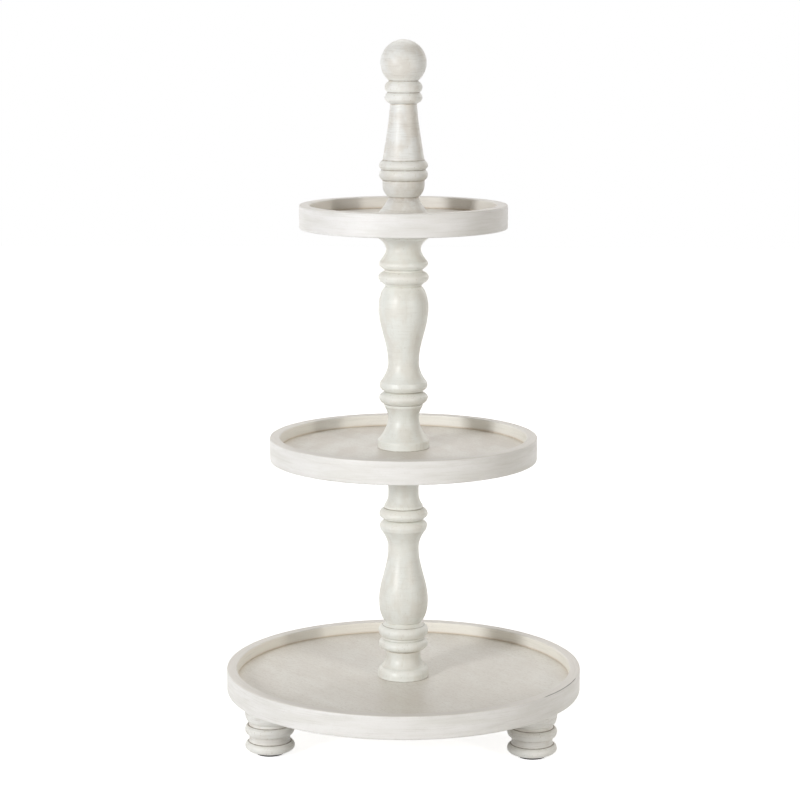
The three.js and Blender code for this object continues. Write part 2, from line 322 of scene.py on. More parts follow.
def flared_collar():
    """Collar end of the upper post, to the foot of its bead: a hollow that flares out into the collar."""
    collar = FLARED_COLLAR
    return (
        Outline()
        .step(POST.plinth_radius).crease(PLINTH_FOOT_CREASE)
        .line(POST.plinth_radius, collar.plinth_height)
        .line(POST.bevel_radius, POST.bevel_height)
        .flare_in(collar.hollow_radius, collar.hollow_height)
        .flare_out(collar.radius, collar.rise, COLLAR_FLARE_POWER).soften(collar.worn_round)
        .fall(collar.groove_radius, collar.fall).crease(FLARED_COLLAR_CREASE)
        .step(collar.fillet_radius)
        .line(collar.fillet_radius, collar.fillet_height)
    )


def full_collar():
    """Collar end of the lower post: a plinth that is worn round, and a collar as full below as above."""
    collar = FULL_COLLAR
    return (
        Outline()
        .step(POST.plinth_radius).crease(PLINTH_FOOT_CREASE)
        .line(POST.plinth_radius, collar.plinth_height)
        .fall(collar.worn_radius, collar.worn_height)
        .flare_in(collar.hollow_radius, collar.hollow_height)
        .line(collar.root_radius, collar.root_height).crease(FULL_COLLAR_ROOT_CREASE)
        .swell(collar.radius, collar.rise, COLLAR_FULLNESS)
        .fall(collar.groove_radius, collar.fall).crease(FULL_COLLAR_CREASE)
        .step(collar.fillet_radius)
        .line(collar.fillet_radius, collar.fillet_height).crease(FULL_COLLAR_FILLET_CREASE)
    )


def post_outline(collar, length):
    """A post on its collar end: bead, belly, waist, cup, neck bead, and a neck that flares out."""
    outline = (
        collar
        .swell(POST.bead_radius, POST.bead_rise)
        .fall(POST.bead_root_radius, POST.bead_fall).crease(BEAD_CREASE)
        .line(POST.belly_groove_radius, POST.belly_cove_height)
        .swell(POST.belly_radius, POST.belly_rise, BELLY_FULLNESS)
        .wave(POST.waist_radius, POST.belly_to_waist)
        .flare_out(POST.cup_edge_radius, POST.cup_height)
        .line(POST.cup_bead_radius, POST.cup_bead_rise)
        .fall(POST.cup_groove_radius, POST.cup_bead_fall).crease(CUP_CREASE)
        .swell(POST.neck_bead_radius, POST.neck_bead_rise)
        .fall(POST.neck_groove_radius, POST.neck_bead_fall).crease(NECK_CREASE)
        .step(POST.neck_fillet_radius)
        .line(POST.neck_fillet_radius, POST.neck_fillet_height)
        .flare_in(POST.neck_radius, POST.neck_hollow_height)
    )
    head = POST.head_flare_height + POST.bevel_height + POST.head_plinth_height
    return (
        outline
        .line(POST.neck_radius, length - outline.points[-1][1] - head)
        .flare_out(POST.bevel_radius, POST.head_flare_height, FOOT_FLARE_POWER)
        .line(POST.plinth_radius, POST.bevel_height)
        .line(POST.plinth_radius, POST.head_plinth_height).crease(PLINTH_HEAD_CREASE)
        .step(0.0)
    )


def finial_outline():
    full = FINIAL_BEAD_FULLNESS
    return (
        Outline()
        .step(FINIAL.foot_radius)
        .line(FINIAL.foot_radius, FINIAL.foot_height)
        .step(FINIAL.stem_foot_radius)
        .flare_in(FINIAL.stem_radius, FINIAL.stem_height, CONE_FLARE_POWER)
        .crease(FINIAL_STEM_CREASE).crease(FINIAL_STEM_PAINTED_SHADE)
        .swell(FINIAL.cup_radius, FINIAL.cup_height, CUP_FULLNESS)
        .line(FINIAL.cup_radius, FINIAL.cup_band_height).crease(FINIAL_BEAD_CREASE)
        .swell(FINIAL.lower_bead_radius, FINIAL.lower_bead_rise, full)
        .fall(FINIAL.bead_groove_radius, FINIAL.lower_bead_fall, full).crease(FINIAL_BEAD_CREASE)
        .swell(FINIAL.middle_bead_radius, FINIAL.middle_bead_rise, full)
        .fall(FINIAL.taper_base_radius, FINIAL.middle_bead_fall, full).crease(FINIAL_BEAD_CREASE)
        .flare_in(FINIAL.taper_top_radius, FINIAL.taper_height, CONE_FLARE_POWER)
        .crease(FINIAL_BEAD_CREASE)
        .swell(FINIAL.ring_bead_radius, FINIAL.ring_bead_rise, full)
        .fall(FINIAL.ring_groove_radius, FINIAL.ring_bead_fall, full).crease(FINIAL_BEAD_CREASE)
        .swell(FINIAL.ring_bead_radius, FINIAL.top_bead_rise, full)
        .fall(FINIAL.ball_neck_radius, FINIAL.top_bead_fall, full).crease(FINIAL_BEAD_CREASE)
        .ball(FINIAL.ball_radius)
    )


def foot_outline(height):
    full = FOOT_BEAD_FULLNESS
    outline = (
        Outline()
        .step(FOOT.sole_radius)
        .swell(FOOT.bead_radius, FOOT.lower_bead_rise, full)
        .fall(FOOT.lower_groove_radius, FOOT.lower_bead_fall, full).crease(FOOT_BEAD_CREASE)
        .flare_in(FOOT.waist_radius, FOOT.waist_fall)
        .flare_out(FOOT.waist_edge_radius, FOOT.waist_rise).crease(FOOT_WAIST_CREASE)
        .swell(FOOT.bead_radius, FOOT.upper_bead_rise, full)
        .fall(FOOT.upper_groove_radius, FOOT.upper_bead_fall, full).crease(FOOT_BEAD_CREASE)
        .flare_in(FOOT.neck_radius, FOOT.neck_height)
        .swell(FOOT.flange_radius, FOOT.flange_rise, full)
    )
    return outline.line(FOOT.flange_radius, height - outline.points[-1][1]).step(0.0)


# From an outline to a piece

def softened(outline):
    """The outline's points with its worn corners drawn as curves."""
    points = list(outline.points)
    for corner, length in outline.soft:
        middle = points.index(corner)
        first = next(i for i in range(middle, -1, -1) if math.dist(points[i], corner) >= length)
        last = next(i for i in range(middle, len(points)) if math.dist(points[i], corner) >= length)
        a, p, b = Vector(points[first]), Vector(corner), Vector(points[last])
        shares = [i / CURVE_STEPS for i in range(CURVE_STEPS + 1)]
        points[first:last + 1] = [tuple(a.lerp(p, t).lerp(p.lerp(b, t), t)) for t in shares]
    return points


def turned(points, corner=CORNER_ROUND, sharp=(), longest=LONGEST_STEP, closed=False):
    """The points with their corners rounded, but for the sharp ones, and their long stretches divided.

    A closed outline comes back to its first corner, and any other ends where it ends.
    """
    if closed:
        points = [points[-1], *points, points[0]]
    rounded = [points[0]]
    for before, here, after in zip(points, points[1:], points[2:]):
        a, p, b = Vector(before), Vector(here), Vector(after)
        into, out = p - a, b - p
        if min(into.length, out.length) < SAME_POINT:
            continue
        if into.angle(out) < CORNER_TURN:
            rounded.append(here)
            continue
        reach = SKIN if here in sharp else corner
        start = p - into.normalized() * min(reach, into.length * CORNER_SHARE)
        end = p + out.normalized() * min(reach, out.length * CORNER_SHARE)
        for i in range(CORNER_STEPS + 1):
            t = i / CORNER_STEPS
            rounded.append(tuple(start.lerp(p, t).lerp(p.lerp(end, t), t)))
    rounded.append(points[-1])
    if closed:
        rounded = [*rounded[1:-1], rounded[1]]
    divided = [rounded[0]]
    for here, after in zip(rounded, rounded[1:]):
        a, b = Vector(here), Vector(after)
        pieces = max(1, math.ceil((b - a).length / longest))
        divided.extend(tuple(a.lerp(b, (i + 1) / pieces)) for i in range(pieces))
    return divided[:-1] if closed else divided


def relief(points):
    """For each point, how far it lies below its neighbours: positive in a hollow, negative on a ridge."""
    bottom, top = points[0][1], points[-1][1]
    wall = [(r, z) for r, z in points if bottom + SKIN < z < top - SKIN]
    depths = []
    for r, z in points:
        weight = 0.0
        total = 0.0
        for r2, z2 in wall:
            share = math.exp(-((z2 - z) / RELIEF_REACH) ** 2)
            weight += share
            total += share * r2
        depths.append(total / weight - r)
    return depths


def glaze_and_shade_marks(points, creases):
    """For each point, how much glaze and painted shade it holds from a crease, and 0 beyond the creases'
    reach.
    """
    marks = []
    for point in points:
        mark = 0.0
        for place, crease in creases:
            reach = crease.before if point[1] < place[1] else crease.after
            mark = max(mark, crease.glaze * (1 - math.dist(point, place) / reach))
        marks.append(mark)
    return marks


def backwards(points, masks):
    """The same points and masks, from the other end."""
    return points[::-1], {key: mask[::-1] for key, mask in masks.items()}


def bored(points, masks, bore):
    """The points and masks with a blind hole in the end that they start from."""
    start = points[0][1]
    floor = start + math.copysign(bore.depth, points[-1][1] - start)
    hole = [(0.0, floor), (bore.radius, floor), (bore.radius, start)]
    first = next(i for i, (r, z) in enumerate(points) if r > bore.radius)
    marks = {key: [0.0] * len(hole) + mask[first:] for key, mask in masks.items()}
    return hole + points[first:], marks


def revolve(name, points, segments, masks, centre=(0.0, 0.0), closed=False):
    """Smooth mesh of an outline turned about an upright axis, with each mask's value at every point."""
    verts, faces, values = [], [], {key: [] for key in masks}
    rings = []
    for i, (r, z) in enumerate(points):
        ring = len(verts)
        count = 1 if r < ON_AXIS else segments
        for k in range(count):
            turn = 2 * math.pi * k / segments
            verts.append((centre[0] + r * math.cos(turn), centre[1] + r * math.sin(turn), z))
            for key, mask in masks.items():
                values[key].append(mask[i])
        rings.append((ring, count))
    pairs = list(zip(rings, rings[1:]))
    if closed:
        pairs.append((rings[-1], rings[0]))
    for (low, low_count), (high, high_count) in pairs:
        for k in range(segments):
            n = (k + 1) % segments
            below = (low + k % low_count, low + n % low_count)
            above = (high + n % high_count, high + k % high_count)
            face = list(dict.fromkeys(below + above))
            if len(face) > 2:
                faces.append(face)
    mesh = bpy.data.meshes.new(name)
    mesh.from_pydata(verts, [], faces)
    mesh.update()
    mesh.shade_smooth()
    for key, numbers in values.items():
        attribute = mesh.attributes.new(key, "FLOAT", "POINT")
        attribute.data.foreach_set("value", numbers)
    piece = bpy.data.objects.new(name, mesh)
    bpy.context.scene.collection.objects.link(piece)
    return piece


def stand_in(piece, node, material):
    """The piece takes its material and the place of its node in the frame."""
    piece.data.materials.append(material)
    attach(piece, "root")
    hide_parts(node)


def middle_of(low, high):
    return ((low.x + high.x) / 2, (low.y + high.y) / 2)


def turning(node, outline, segments, material, flipped=False, low_bore=None, high_bore=None):
    """A turned piece in the place of its node, marked with its creases, hollows and ridges.

    The bores are in the outline's lower and upper end, before it is flipped.
    """
    low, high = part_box(node)
    points = turned(softened(outline))
    depths = relief(points)
    masks = {
        "crease": glaze_and_shade_marks(points, outline.creases),
        "hollow": [min(1.0, max(0.0, d / HOLLOW_DEPTH)) for d in depths],
        "ridge": [min(1.0, max(0.0, -d / RIDGE_HEIGHT)) for d in depths],
    }
    if low_bore is not None:
        points, masks = bored(points, masks, low_bore)
    if high_bore is not None:
        points, masks = bored(*backwards(points, masks), high_bore)
        points, masks = backwards(points, masks)
    if flipped:
        points, masks = backwards([(r, high.z - z) for r, z in points], masks)
    else:
        points = [(r, low.z + z) for r, z in points]
    piece = revolve(f"{node}_turning", points, segments, masks, middle_of(low, high))
    stand_in(piece, node, material)


def pad(node, material):
    """Flat disc of rubber under a foot."""
    low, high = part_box(node)
    radius = (high.x - low.x) / 2
    points = turned([(0.0, low.z), (radius, low.z), (radius, high.z), (0.0, high.z)])
    piece = revolve(f"{node}_disc", points, FOOT_SEGMENTS, {}, middle_of(low, high))
    stand_in(piece, node, material)


# Trays

RIM_WALL = 9 * MM
RIM_REBATE = 4 * MM
RIM_ROUND = 1.4 * MM
STUD_HOLE_RADIUS = 4.5 * MM
BOLT_RECESS_RADIUS = 10 * MM
BOLT_RECESS_DEPTH = 5.4 * MM

# How far the glaze and painted shade reach up the hoop from the floor, and over the floor from the hoop
CORNER_GLAZE_AND_SHADE_REACH = 1.2 * MM
FLOOR_GLAZE_AND_SHADE_REACH = 4 * MM


def hoop(tray, material):
    """Hoop with rounded edges and a rebate for the floor, marked inside, in its corner and on top."""
    low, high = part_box(f"{tray}_tray_rim")
    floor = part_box(f"{tray}_tray_base")[1].z
    outer = high.x
    inner = outer - RIM_WALL
    rebate = inner + RIM_REBATE
    bottom, top = low.z, high.z
    outline = [
        (rebate, bottom), (outer, bottom), (outer, top),
        (inner, top), (inner, floor), (rebate, floor),
    ]
    points = turned(outline, RIM_ROUND, sharp=[(inner, floor)], closed=True)
    inside = [1.0 if r < inner + SKIN and z > floor - SKIN else 0.0 for r, z in points]
    fading = [math.exp(-max(0.0, z - floor) / CORNER_GLAZE_AND_SHADE_REACH) for r, z in points]
    masks = {
        "corner": [a * b for a, b in zip(inside, fading)],
        "inside": inside,
        "top_edge": [1.0 if z > top - RIM_ROUND / 2 else 0.0 for r, z in points],
    }
    piece = revolve(f"{tray}_tray_hoop", points, TRAY_SEGMENTS, masks, closed=True)
    stand_in(piece, f"{tray}_tray_rim", material)


def panel(tray, material):
    """Disc with its centre hole, and under the bottom tray the recess that holds the bolt's head."""
    low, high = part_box(f"{tray}_tray_base")
    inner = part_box(f"{tray}_tray_rim")[1].x - RIM_WALL
    if tray == "bottom":
        roof = low.z + BOLT_RECESS_DEPTH
        under = [(STUD_HOLE_RADIUS, roof), (BOLT_RECESS_RADIUS, roof), (BOLT_RECESS_RADIUS, low.z)]
    else:
        under = [(STUD_HOLE_RADIUS, low.z)]
    outline = [*under, (high.x, low.z), (high.x, high.z), (STUD_HOLE_RADIUS, high.z)]
    points = turned(outline, longest=FLOOR_STEP, closed=True)
    fading = [math.exp(-max(0.0, inner - r) / FLOOR_GLAZE_AND_SHADE_REACH) for r, z in points]
    hoop_glaze_and_shade = [a if z > high.z - SKIN else 0.0 for a, (r, z) in zip(fading, points)]
    piece = revolve(f"{tray}_tray_floor", points, TRAY_SEGMENTS, {"corner": hoop_glaze_and_shade}, closed=True)
    stand_in(piece, f"{tray}_tray_base", material)


# Materials

def linear(red, green, blue):
    """A colour written as 0 to 255 screen values, as the shader takes it."""
    def one(value):
        v = value / 255
        return v / 12.92 if v <= 0.04045 else ((v + 0.055) / 1.055) ** 2.4
    return (one(red), one(green), one(blue), 1.0)


WHITE = (1.0, 1.0, 1.0, 1.0)

# Turnings: wash left thick, grain showing through, lines left by turning, warm wash and painted shade in a
# hollow, wash rubbed bright with a painted highlight on a ridge, and open pores
THICK_WASH = linear(240, 240, 236)
TURNED_GRAIN = linear(203, 198, 184)
TURNING_LINES = linear(184, 178, 168)
HOLLOW_WASH_AND_SHADE = linear(222, 212, 194)
RIDGE_WEAR_AND_HIGHLIGHT = linear(245, 245, 240)
TURNED_PORES = linear(172, 160, 142)

# Hoops: thin wash, painted shade along the top edge, long brush marks and short ones, and glaze and painted
# shade in the corner over the floor
HOOP_THIN_WASH = linear(221, 219, 215)
HOOP_TOP_PAINTED_SHADE = linear(230, 226, 221)
HOOP_BRUSHED = linear(196, 192, 184)
HOOP_HATCHED = linear(205, 202, 195)
HOOP_CORNER_GLAZE_AND_SHADE = linear(190, 165, 132)

# Floors: the wash and its bands, clouds, grain and pores, and glaze and painted shade along the hoop
FLOOR_WASH = linear(233, 231, 225)
FLOOR_BANDS = linear(229, 226, 219)
FLOOR_CLOUDS = linear(219, 213, 205)
FLOOR_GRAIN = linear(205, 198, 188)
FLOOR_PORES = linear(203, 196, 187)
FLOOR_EDGE_GLAZE_AND_SHADE = linear(182, 168, 146)
FLOOR_CLOUD_TURN = math.radians(35)

RUBBER = linear(24, 22, 21)
RUBBER_GRAIN = linear(38, 35, 33)
STEEL = linear(196, 197, 196)
STEEL_TARNISH = linear(168, 167, 163)

# How high the grain of each surface stands, and how strongly it shows
WOOD_RELIEF = 0.12 * MM
FLOOR_RELIEF = 0.1 * MM
RUBBER_RELIEF = 0.08 * MM
STEEL_RELIEF = 0.03 * MM
RELIEF_STRENGTH = 0.3
RUBBER_RELIEF_STRENGTH = 0.4

# Roughness of each surface at its smoothest, and what its streaks or grain add to it
HOOP_ROUGHNESS = 0.44
FLOOR_ROUGHNESS = 0.3
RUBBER_ROUGHNESS = 0.68
STEEL_ROUGHNESS = 0.2
STREAK_ROUGHNESS = 0.12
FLOOR_GRAIN_ROUGHNESS = 0.08
RUBBER_GRAIN_ROUGHNESS = 0.2
STEEL_BRUSH_ROUGHNESS = 0.22

# Crack between two layers of the bottom hoop, seen on its top edge: where its middle is, how far it runs
# to either side and over how much of that it fades out, how far in from the outer wall it lies, half its
# width, its colour and its share, and how deep it is in grain heights
CRACKED_TRAY = "bottom"
CRACK_AZIMUTH = math.radians(64)
CRACK_REACH = math.radians(13)
CRACK_FADE = math.radians(3)
CRACK_INSET = 0.45 * MM
CRACK_HALF = 0.45 * MM
CRACK_COLOR = linear(58, 50, 42)
CRACK_SHARE = 0.95
CRACK_DEPTH = 3.0

# Colour sockets of a mix node
MIX_A = 6
MIX_B = 7
MIX_RESULT = 2


class Nodes:
    """The nodes of a tree, made and joined in one call each."""

    def __init__(self, tree):
        self.tree = tree

    def node(self, kind, inputs=None, **settings):
        made = self.tree.nodes.new(kind)
        for key, value in settings.items():
            setattr(made, key, value)
        for key, value in (inputs or {}).items():
            self.put(made.inputs[key], value)
        return made

    def put(self, socket, value):
        """The socket takes a number or a colour, or what another socket gives."""
        if isinstance(value, bpy.types.NodeSocket):
            self.tree.links.new(value, socket)
        else:
            socket.default_value = value

    def math(self, operation, a, b=0.0):
        return self.node("ShaderNodeMath", {0: a, 1: b}, operation=operation).outputs[0]

    def mix(self, share, a, b):
        made = self.node("ShaderNodeMix", {"Factor": share}, data_type="RGBA")
        self.put(made.inputs[MIX_A], a)
        self.put(made.inputs[MIX_B], b)
        return made.outputs[MIX_RESULT]

    def seen_by_camera(self):
        """1 for what the camera sees, also by reflection or through glass, and 0 for other light."""
        path = self.node("ShaderNodeLightPath").outputs
        seen = self.math("MAXIMUM", path["Is Camera Ray"], path["Is Glossy Ray"])
        return self.math("MAXIMUM", seen, path["Is Transmission Ray"])


class Surface(Nodes):
    """A material whose patterns lie in the object: places in metres, scales in waves per metre."""

    def __init__(self, name):
        self.material = bpy.data.materials.new(name)
        self.material.use_nodes = True
        super().__init__(self.material.node_tree)
        self.shader = self.tree.nodes["Principled BSDF"]
        self.place = self.node("ShaderNodeTexCoord").outputs["Object"]

    def mark(self, name):
        """The value of a mask of the mesh."""
        return self.node("ShaderNodeAttribute", attribute_name=name).outputs["Fac"]

    def length(self, vector):
        return self.node("ShaderNodeVectorMath", {0: vector}, operation="LENGTH").outputs["Value"]

    def stretch(self, x, y, z, turn=0.0):
        """The place in the object, turned about Z and then scaled along each axis."""
        inputs = {"Vector": self.place, "Angle": turn}
        place = self.node("ShaderNodeVectorRotate", inputs, rotation_type="Z_AXIS").outputs[0]
        return self.node("ShaderNodeMapping", {"Vector": place, "Scale": (x, y, z)}).outputs["Vector"]

    def noise(self, vector, detail, rough):
        inputs = {"Vector": vector, "Scale": 1.0, "Detail": detail, "Roughness": rough}
        return self.node("ShaderNodeTexNoise", inputs).outputs["Fac"]

    def between(self, value, low, high, top=1.0):
        """0 on low's side of the range, top on high's side, and smooth between."""
        inputs = {"Value": value, "From Min": low, "From Max": high, "To Max": top}
        made = self.node("ShaderNodeMapRange", inputs, interpolation_type="SMOOTHSTEP")
        return made.outputs["Result"]

    def bump(self, height, distance, strength=RELIEF_STRENGTH):
        inputs = {"Height": height, "Distance": distance, "Strength": strength}
        return self.node("ShaderNodeBump", inputs).outputs["Normal"]

    def finish(self, color, roughness, normal=None, **uniform):
        """The material, with what is the same all over it set on the shader's own sockets."""
        self.put(self.shader.inputs["Base Color"], color)
        self.put(self.shader.inputs["Roughness"], roughness)
        if normal is not None:
            self.put(self.shader.inputs["Normal"], normal)
        for key, value in uniform.items():
            self.shader.inputs[key.replace("_", " ")].default_value = value
        return self.material


def turned_wood(name, paint, shade, lines, mottle, grain, glaze, smoothest):
    """Whitewash on a turning: cloudy, with upright grain, turning lines and pores, glaze and painted shade
    in the creases, warm wash and painted shade in the hollows, and rubbed wash with a painted highlight on
    the ridges.

    lines, mottle and grain are shares, the glaze colour is that of the glaze and painted shade left in the
    creases, and smoothest the roughness between the streaks.
    """
    g = Surface(name)
    fine = g.noise(g.stretch(90, 90, 1500), detail=3.0, rough=0.65)
    broad = g.noise(g.stretch(45, 45, 420), detail=3.0, rough=0.55)
    cloud = g.noise(g.stretch(75, 75, 48), detail=3.0, rough=0.5)
    blotch = g.noise(g.stretch(260, 260, 230), detail=3.0, rough=0.6)
    fibre = g.noise(g.stretch(420, 420, 24), detail=3.0, rough=0.55)
    pores = g.noise(g.stretch(900, 900, 420), detail=2.0, rough=0.5)
    streaks = g.math("MULTIPLY", g.between(fine, 0.42, 0.7), g.between(broad, 0.35, 0.66))
    color = g.mix(g.between(cloud, 0.38, 0.64, mottle), linear(*paint), linear(*shade))
    color = g.mix(g.between(blotch, 0.5, 0.74, mottle * 0.55), color, THICK_WASH)
    color = g.mix(g.between(fibre, 0.5, 0.76, grain), color, TURNED_GRAIN)
    color = g.mix(g.math("MULTIPLY", streaks, lines), color, TURNING_LINES)
    # Warm wash and painted shade in the hollows
    color = g.mix(g.math("MULTIPLY", g.mark("hollow"), 0.35), color, HOLLOW_WASH_AND_SHADE)
    # Rubbed wash and a painted highlight on the ridges
    color = g.mix(g.math("MULTIPLY", g.mark("ridge"), 0.45), color, RIDGE_WEAR_AND_HIGHLIGHT)
    worn = g.math("ADD", g.math("MULTIPLY", g.mark("ridge"), 0.55), 0.2)
    color = g.mix(g.math("MULTIPLY", g.between(pores, 0.63, 0.78), worn), color, TURNED_PORES)
    patchy = g.math("ADD", g.math("MULTIPLY", blotch, 1.5), 0.25)
    ragged = g.math("MULTIPLY", g.mark("crease"), patchy)
    # Glaze and painted shade in the creases
    color = g.mix(g.between(ragged, 0.15, 0.95, 0.8), color, linear(*glaze))
    roughness = g.math("ADD", g.math("MULTIPLY", streaks, STREAK_ROUGHNESS), smoothest)
    height = g.math("SUBTRACT", g.math("MULTIPLY", fine, 0.5), g.between(pores, 0.62, 0.78))
    return g.finish(color, roughness, g.bump(height, WOOD_RELIEF))


def bent_wood(name, paint, shade, inside, cracked_at=None):
    """Whitewash on a hoop: cloudy, brushed along its length, with glaze and painted shade where it meets
    the floor, and painted shade along its top edge.

    inside is the colour of the inner wall, with light and shade painted into it, and cracked_at the radius
    at which the top edge is cracked.
    """
    g = Surface(name)
    place = g.node("ShaderNodeSeparateXYZ", {"Vector": g.place}).outputs
    flat = g.node("ShaderNodeCombineXYZ", {"X": place["X"], "Y": place["Y"]}).outputs["Vector"]
    radius = g.length(flat)
    across = g.math("ADD", radius, place["Z"])

    def brushed(along, wide):
        """The place scaled along the hoop and across it, the same over its walls as over its top edge."""
        parts = {
            "X": g.math("MULTIPLY", place["X"], along),
            "Y": g.math("MULTIPLY", place["Y"], along),
            "Z": g.math("MULTIPLY", across, wide),
        }
        return g.node("ShaderNodeCombineXYZ", parts).outputs["Vector"]

    fine = g.noise(brushed(34, 1150), detail=3.0, rough=0.6)
    broad = g.noise(brushed(22, 330), detail=3.0, rough=0.55)
    hatch = g.noise(brushed(520, 900), detail=3.0, rough=0.6)
    cloud = g.noise(brushed(16, 120), detail=3.0, rough=0.55)
    blotch = g.noise(brushed(120, 260), detail=3.0, rough=0.6)
    streaks = g.math("MULTIPLY", g.between(fine, 0.42, 0.72), g.between(broad, 0.34, 0.66))
    color = g.mix(g.between(cloud, 0.38, 0.64), linear(*paint), linear(*shade))
    color = g.mix(g.between(blotch, 0.48, 0.74, 0.2), color, HOOP_THIN_WASH)
    # The inner wall's colour: lighter and warmer than the paint on the bottom and middle trays as painted
    # light, darker on the top tray as painted shade
    color = g.mix(g.math("MULTIPLY", g.mark("inside"), 0.9), color, linear(*inside))
    # Painted shade along the top edge
    color = g.mix(g.math("MULTIPLY", g.mark("top_edge"), 0.8), color, HOOP_TOP_PAINTED_SHADE)
    color = g.mix(g.math("MULTIPLY", streaks, 0.26), color, HOOP_BRUSHED)
    color = g.mix(g.between(hatch, 0.54, 0.72, 0.16), color, HOOP_HATCHED)
    # Glaze and painted shade in the corner over the floor
    color = g.mix(g.between(g.mark("corner"), 0.05, 0.9, 0.5), color, HOOP_CORNER_GLAZE_AND_SHADE)
    height = g.math("ADD", g.math("MULTIPLY", fine, 0.6), g.math("MULTIPLY", hatch, 0.4))
    if cracked_at is not None:
        toward = (math.sin(CRACK_AZIMUTH), -math.cos(CRACK_AZIMUTH), 0.0)
        dot = g.node("ShaderNodeVectorMath", {0: flat, 1: toward}, operation="DOT_PRODUCT")
        turned_by = g.math("ARCCOSINE", g.math("DIVIDE", dot.outputs["Value"], radius))
        off = g.math("ABSOLUTE", g.math("SUBTRACT", radius, cracked_at))
        width = g.math("MULTIPLY", g.between(off, CRACK_HALF, 0.0), g.mark("top_edge"))
        crack = g.math("MULTIPLY", width, g.between(turned_by, CRACK_REACH, CRACK_REACH - CRACK_FADE))
        color = g.mix(g.math("MULTIPLY", crack, CRACK_SHARE), color, CRACK_COLOR)
        height = g.math("SUBTRACT", height, g.math("MULTIPLY", crack, CRACK_DEPTH))
    roughness = g.math("ADD", g.math("MULTIPLY", streaks, STREAK_ROUGHNESS), HOOP_ROUGHNESS)
    return g.finish(color, roughness, g.bump(height, WOOD_RELIEF))


def veneer(name, turn, clouds):
    """Whitewashed veneer: straight grain at a turn about Z, with open pores, and glaze and painted shade
    along the hoop.
    """
    g = Surface(name)
    grain = g.noise(g.stretch(1100, 30, 30, turn), detail=3.0, rough=0.6)
    bands = g.noise(g.stretch(55, 6, 6, turn), detail=2.0, rough=0.5)
    cloud = g.noise(g.stretch(45, 20, 20, turn + FLOOR_CLOUD_TURN), detail=2.0, rough=0.5)
    pores = g.noise(g.stretch(950, 330, 330, turn), detail=4.0, rough=0.65)
    color = g.mix(g.between(bands, 0.35, 0.65), FLOOR_WASH, FLOOR_BANDS)
    color = g.mix(g.between(cloud, 0.36, 0.62, clouds), color, FLOOR_CLOUDS)
    color = g.mix(g.between(grain, 0.42, 0.75, 0.2), color, FLOOR_GRAIN)
    color = g.mix(g.between(pores, 0.46, 0.66, 0.5), color, FLOOR_PORES)
    # Glaze and painted shade along the hoop
    color = g.mix(g.between(g.mark("corner"), 0.05, 1.0, 0.4), color, FLOOR_EDGE_GLAZE_AND_SHADE)
    roughness = g.math("ADD", g.between(grain, 0.3, 0.7, FLOOR_GRAIN_ROUGHNESS), FLOOR_ROUGHNESS)
    height = g.math("SUBTRACT", g.math("MULTIPLY", grain, 0.5), g.between(pores, 0.57, 0.72))
    return g.finish(color, roughness, g.bump(height, FLOOR_RELIEF))


def pad_rubber():
    g = Surface("pad_rubber")
    grain = g.noise(g.stretch(2600, 2600, 2600), detail=2.0, rough=0.6)
    color = g.mix(g.between(grain, 0.35, 0.7), RUBBER, RUBBER_GRAIN)
    roughness = g.math("ADD", g.math("MULTIPLY", grain, RUBBER_GRAIN_ROUGHNESS), RUBBER_ROUGHNESS)
    return g.finish(color, roughness, g.bump(grain, RUBBER_RELIEF, RUBBER_RELIEF_STRENGTH))


def plated_steel():
    g = Surface("plated_steel")
    brush = g.noise(g.stretch(1400, 1400, 5200), detail=3.0, rough=0.6)
    tarnish = g.noise(g.stretch(240, 240, 240), detail=3.0, rough=0.55)
    color = g.mix(g.between(tarnish, 0.4, 0.7), STEEL, STEEL_TARNISH)
    roughness = g.math("ADD", g.math("MULTIPLY", brush, STEEL_BRUSH_ROUGHNESS), STEEL_ROUGHNESS)
    return g.finish(color, roughness, g.bump(brush, STEEL_RELIEF), Metallic=1.0)


# The stand

# Looks of the trays: the hoop's paint, its clouds' colour, its inner wall's colour, the floor's grain turn
# and its clouds' share. The hoop's paint is lighter on the bottom tray and darker on the top one, as
# painted light and shade. The inner wall is lighter than the paint on the bottom and middle trays as
# painted light, and darker on the top tray as painted shade.
TrayLook = namedtuple("TrayLook", "paint shade inside grain_turn clouds")
TRAY_LOOKS = {
    "bottom": TrayLook((241, 240, 239), (233, 232, 229), (246, 243, 235), grain_turn=-40, clouds=0.4),
    "middle": TrayLook((237, 236, 235), (228, 227, 224), (241, 239, 232), grain_turn=-34, clouds=0.9),
    "top": TrayLook((235, 234, 234), (226, 225, 223), (225, 221, 214), grain_turn=-47, clouds=1.0),
}
HARDWARE_WORDS = ("insert", "stud", "screw", "washer", "bolt")

for tray, look in TRAY_LOOKS.items():
    cracked_at = None
    if tray == CRACKED_TRAY:
        cracked_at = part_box(f"{tray}_tray_rim")[1].x - CRACK_INSET
    hoop(tray, bent_wood(f"{tray}_hoop_whitewash", look.paint, look.shade, look.inside, cracked_at))
    panel(tray, veneer(f"{tray}_veneer", math.radians(look.grain_turn), look.clouds))

post_paint = turned_wood("post_whitewash", paint=(233, 235, 231), shade=(223, 220, 212),
                         lines=0.15, mottle=0.6, grain=0.2, glaze=(132, 117, 96), smoothest=0.35)
for node, collar in (("lower_post", full_collar()), ("upper_post", flared_collar())):
    low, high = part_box(node)
    outline = post_outline(collar, high.z - low.z)
    turning(node, outline, TURNED_SEGMENTS, post_paint, flipped=node == "upper_post",
            low_bore=INSERT_BORE, high_bore=INSERT_BORE)

finial_paint = turned_wood("finial_whitewash", paint=(233, 234, 233), shade=(215, 210, 202),
                           lines=0.42, mottle=0.75, grain=0.1, glaze=(146, 132, 114), smoothest=0.42)
turning("finial", finial_outline(), TURNED_SEGMENTS, finial_paint, low_bore=INSERT_BORE)

